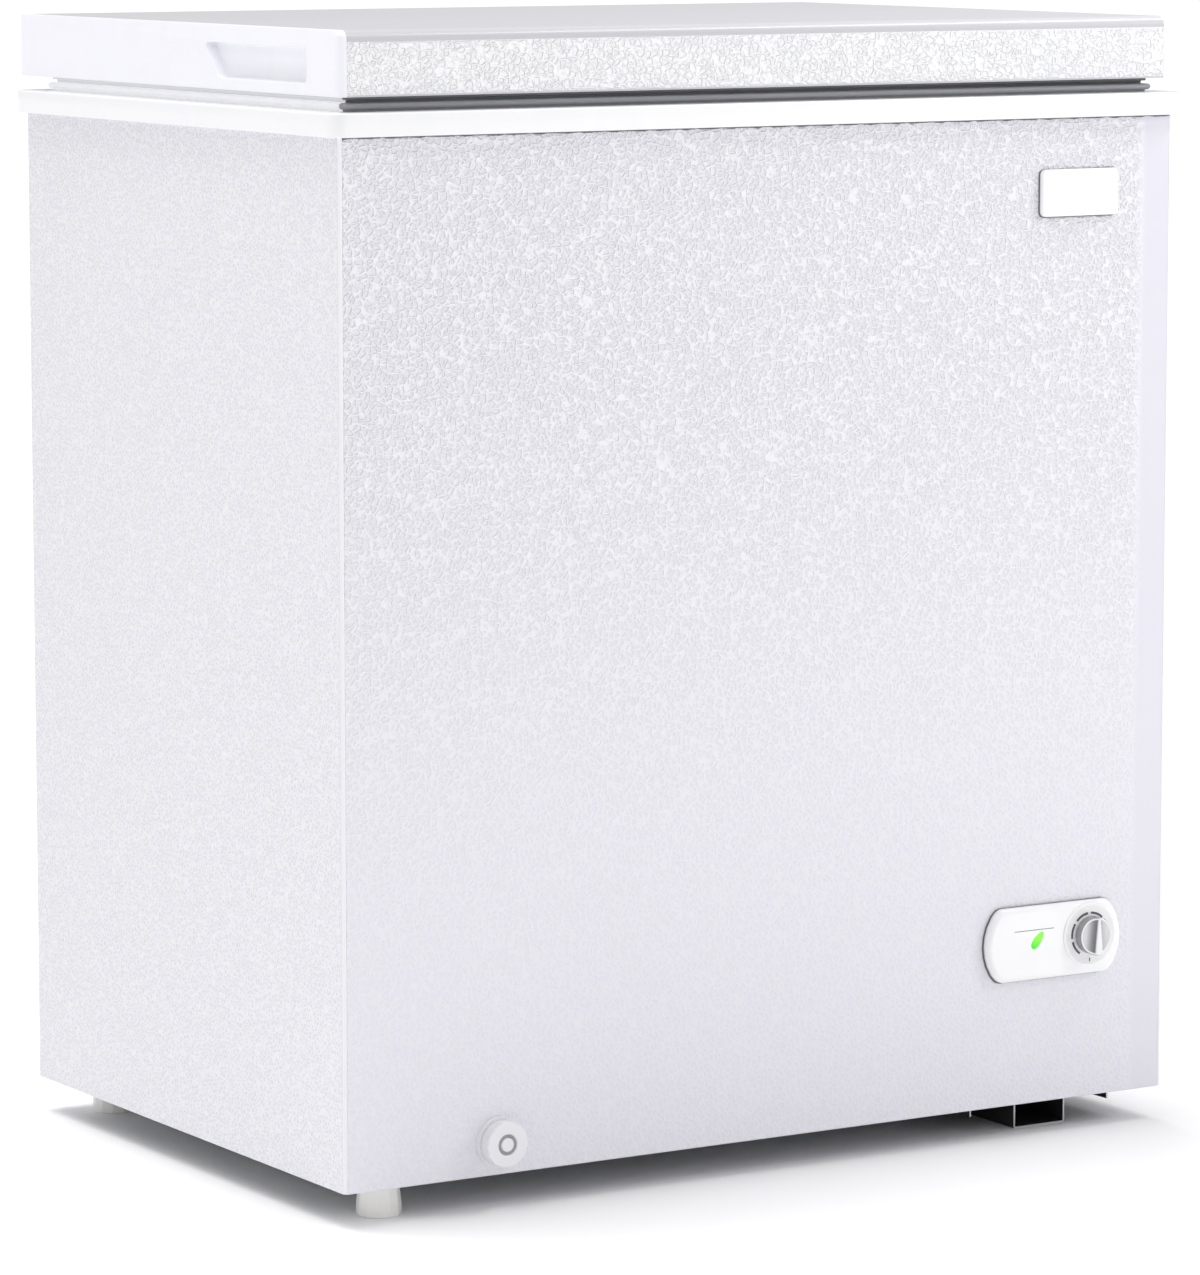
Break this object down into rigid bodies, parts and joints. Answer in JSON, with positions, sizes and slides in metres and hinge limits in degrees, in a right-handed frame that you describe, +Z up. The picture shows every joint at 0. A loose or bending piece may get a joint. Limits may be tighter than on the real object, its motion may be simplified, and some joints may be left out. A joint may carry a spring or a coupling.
{
  "type": "chest freezer",
  "caption": "Small chest freezer: foamed steel cabinet on feet and a channel, hinged insulated lid with side finger grips, gasket, thermostat knob, drain dial and hanging basket.",
  "frame": {"origin": "on the floor, under the middle of the cabinet", "axes": "+Z up, the front faces -Y, +X is the right-hand end seen from the front"},
  "size_m": [0.741, 0.5342, 0.8523],
  "materials": {
    "white_steel": "satin",
    "white_gloss_steel": "gloss",
    "white_plastic": "gloss",
    "white_foot_plastic": "satin",
    "liner_white": "satin",
    "insulating_foam": "matte",
    "galvanised_steel": "satin",
    "zinc_steel": "satin",
    "black_steel": "satin",
    "copper_tube": "satin",
    "grey_rubber": "satin",
    "black_rubber": "matte",
    "black_plastic": "satin",
    "dial_white": "satin",
    "knob_plastic": "gloss",
    "green_lens": "gloss",
    "lamp_glass": "gloss",
    "white_wire": "gloss"
  },
  "bodies": {
    "cabinet": {"front_panel": "white_steel", "left_side_panel": "white_steel", "right_side_panel": "white_steel", "back_panel": "white_gloss_steel", "stepped_bottom_panel": "galvanised_steel", "cabinet_foam": "insulating_foam", "inner_liner": "liner_white", "top_rim_frame": "white_plastic", "badge_plate": "white_plastic", "control_panel": "white_plastic", "dial_ring": "dial_white", "indicator_lens": "green_lens", "indicator_lamp": "lamp_glass", "thermostat_body": "black_plastic", "drain_sleeve": "white_foot_plastic", "drain_pipe": "white_foot_plastic", "front_left_foot": "white_foot_plastic", "rear_left_foot": "white_foot_plastic", "foot_screws": "zinc_steel", "compressor_base_plate": "black_steel", "base_plate_screws": "zinc_steel", "compressor_shell": "black_steel", "compressor_grommets": "black_rubber", "compressor_bolts": "zinc_steel", "compressor_relay_cover": "black_plastic", "condenser_tube": "copper_tube", "evaporator_tube": "copper_tube", "suction_pipe": "copper_tube", "filter_drier": "copper_tube", "capillary_tube": "copper_tube", "side_vent_grille": "white_plastic", "rear_compartment_cover": "white_gloss_steel", "rear_cover_screws": "zinc_steel", "cord_gland": "black_plastic", "left_hinge_bracket": "zinc_steel", "right_hinge_bracket": "zinc_steel", "hinge_pins": "zinc_steel", "hinge_springs": "zinc_steel", "hinge_bracket_screws": "zinc_steel"},
    "lid": {"lid_outer_skin": "white_steel", "lid_left_end_cap": "white_plastic", "lid_right_end_cap": "white_plastic", "lid_foam": "insulating_foam", "lid_inner_panel": "white_plastic", "lid_gasket": "grey_rubber", "left_hinge_leaf": "zinc_steel", "right_hinge_leaf": "zinc_steel", "hinge_leaf_screws": "zinc_steel"},
    "knob": {"thermostat_knob": "knob_plastic", "thermostat_spindle": "zinc_steel"},
    "drain_spout": {"drain_spout": "white_foot_plastic"},
    "drain_dial": {"drain_dial": "white_plastic"},
    "drain_plug": {"inner_drain_plug": "white_foot_plastic"},
    "basket": {"storage_basket": "white_wire"}
  },
  "joints": [
    {"name": "lid_hinge", "type": "hinge", "parent": "cabinet", "child": "lid", "pos_m": [0, 0.2625, 0.8], "axis": [-1, 0, 0], "range_deg": [0, 80]},
    {"name": "thermostat_turn", "type": "hinge", "parent": "cabinet", "child": "knob", "pos_m": [0.2865, -0.26, 0.154], "axis": [0, 1, 0], "range_deg": [-150, 150]},
    {"name": "drain_pull", "type": "slide", "parent": "cabinet", "child": "drain_spout", "axis": [0, -1, 0], "range_m": [0, 0.02]},
    {"name": "drain_turn", "type": "hinge", "parent": "drain_spout", "child": "drain_dial", "pos_m": [-0.2345, -0.252, 0.0505], "axis": [0, 1, 0], "range_deg": [0, 180]},
    {"name": "drain_plug_lift", "type": "slide", "parent": "cabinet", "child": "drain_plug", "axis": [0, 0, 1], "range_m": [0, 0.03]},
    {"name": "basket_slide", "type": "slide", "parent": "cabinet", "child": "basket", "axis": [-1, 0, 0], "range_m": [0, 0.42]}
  ]
}
